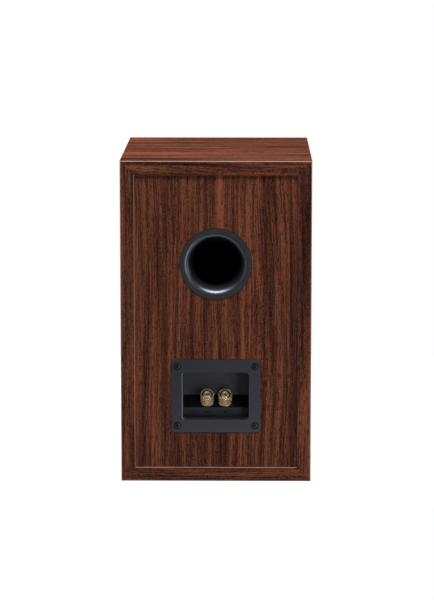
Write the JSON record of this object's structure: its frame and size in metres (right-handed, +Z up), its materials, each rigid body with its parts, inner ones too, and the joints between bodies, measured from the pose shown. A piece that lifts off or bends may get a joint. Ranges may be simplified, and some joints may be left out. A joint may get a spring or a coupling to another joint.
{
  "type": "bookshelf speaker",
  "caption": "Two-way bookshelf speaker: mitred wood-veneer cabinet, rear bass port, recessed rear terminal cup with slanted binding posts, black cloth grille that pulls off.",
  "frame": {"origin": "middle of the footprint, on the surface that the cabinet stands on", "axes": "+Z up; the grille faces -Y and the terminals face +Y; +X is the listener's right, looking at the grille"},
  "size_m": [0.2, 0.2602, 0.34],
  "materials": {
    "veneer": "satin walnut veneer",
    "baffle": "black painted board",
    "hardboard": "plain hardboard",
    "wadding": "soft polyester wadding",
    "black_plastic": "satin moulded plastic",
    "cloth": "black knitted grille cloth",
    "gold": "polished gold plate",
    "clear_plastic": "clear polished plastic",
    "red_plastic": "red moulded plastic",
    "black_ring": "black moulded plastic",
    "black_steel": "black coated steel",
    "zinc_steel": "zinc plated",
    "ferrite": "sintered ferrite",
    "rubber": "matt rubber",
    "cone_paper": "coated paper pulp",
    "spider_cloth": "resin-dipped cloth",
    "dome_silk": "coated silk",
    "copper": "enamelled copper wire",
    "film": "plain film wrap",
    "cable": "soft insulation"
  },
  "bodies": {
    "cabinet": {"bottom_panel": "veneer", "right_side_panel": "veneer", "top_panel": "veneer", "left_side_panel": "veneer", "front_baffle": "baffle", "rear_panel": "veneer", "damping_lining": "wadding", "port_tube": "black_plastic", "terminal_cup": "black_plastic", "terminal_cup_screw_1": "black_steel", "terminal_cup_screw_2": "black_steel", "terminal_cup_screw_3": "black_steel", "terminal_cup_screw_4": "black_steel", "positive_post_stud": "gold", "positive_post_back_nut": "zinc_steel", "negative_post_stud": "gold", "negative_post_back_nut": "zinc_steel", "woofer_basket": "black_steel", "woofer_surround": "rubber", "woofer_spider": "spider_cloth", "woofer_top_plate": "zinc_steel", "woofer_magnet": "ferrite", "woofer_yoke": "zinc_steel", "woofer_screw_1": "black_steel", "woofer_screw_2": "black_steel", "woofer_screw_3": "black_steel", "woofer_screw_4": "black_steel", "tweeter_faceplate": "black_plastic", "tweeter_top_plate": "zinc_steel", "tweeter_magnet": "ferrite", "tweeter_yoke": "zinc_steel", "tweeter_screw_1": "black_steel", "tweeter_screw_2": "black_steel", "tweeter_screw_3": "black_steel", "crossover_board": "hardboard", "woofer_inductor": "copper", "tweeter_inductor": "copper", "tweeter_capacitor": "film", "input_lead": "cable", "woofer_lead": "cable", "tweeter_lead": "cable", "grille_socket_1": "rubber", "grille_socket_2": "rubber", "grille_socket_3": "rubber", "grille_socket_4": "rubber"},
    "grille": {"grille_frame": "black_plastic", "grille_cloth": "cloth"},
    "woofer_diaphragm": {"woofer_cone": "cone_paper", "woofer_dust_cap": "cone_paper", "woofer_voice_coil": "copper"},
    "tweeter_diaphragm": {"tweeter_dome": "dome_silk", "tweeter_voice_coil": "copper"},
    "positive_clamp": {"positive_post_clamp_washer": "gold"},
    "positive_thumb_nut": {"positive_post_thumb_cap": "clear_plastic", "positive_post_cap_insert": "gold", "positive_post_colour_ring": "red_plastic"},
    "negative_clamp": {"negative_post_clamp_washer": "gold"},
    "negative_thumb_nut": {"negative_post_thumb_cap": "clear_plastic", "negative_post_cap_insert": "gold", "negative_post_colour_ring": "black_ring"}
  },
  "joints": [
    {"name": "grille_pull", "type": "slide", "parent": "cabinet", "child": "grille", "axis": [0, -1, 0], "range_m": [0, 0.03]},
    {"name": "woofer_cone_travel", "type": "slide", "parent": "cabinet", "child": "woofer_diaphragm", "axis": [0, -1, 0], "range_m": [-0.005, 0.005], "stiffness_N_per_m": 1000, "deforming": ["woofer_surround", "woofer_spider"]},
    {"name": "tweeter_dome_travel", "type": "slide", "parent": "cabinet", "child": "tweeter_diaphragm", "axis": [0, -1, 0], "range_m": [-0.0003, 0.0003], "stiffness_N_per_m": 200, "deforming": ["tweeter_dome"]},
    {"name": "positive_post_lift", "type": "slide", "parent": "cabinet", "child": "positive_clamp", "axis": [0, 0.7071, 0.7071], "range_m": [0, 0.006]},
    {"name": "positive_post_turn", "type": "hinge", "parent": "positive_clamp", "child": "positive_thumb_nut", "pos_m": [-0.0095, 0.10615, 0.08158], "axis": [0, 0.7071, 0.7071], "range_deg": [0, 2160]},
    {"name": "negative_post_lift", "type": "slide", "parent": "cabinet", "child": "negative_clamp", "axis": [0, 0.7071, 0.7071], "range_m": [0, 0.006]},
    {"name": "negative_post_turn", "type": "hinge", "parent": "negative_clamp", "child": "negative_thumb_nut", "pos_m": [0.0095, 0.10615, 0.08158], "axis": [0, 0.7071, 0.7071], "range_deg": [0, 2160]}
  ],
  "couplings": [
    {"joint": "positive_post_lift", "follows": "positive_post_turn", "m_per_rad": 0.00015915},
    {"joint": "negative_post_lift", "follows": "negative_post_turn", "m_per_rad": 0.00015915}
  ]
}
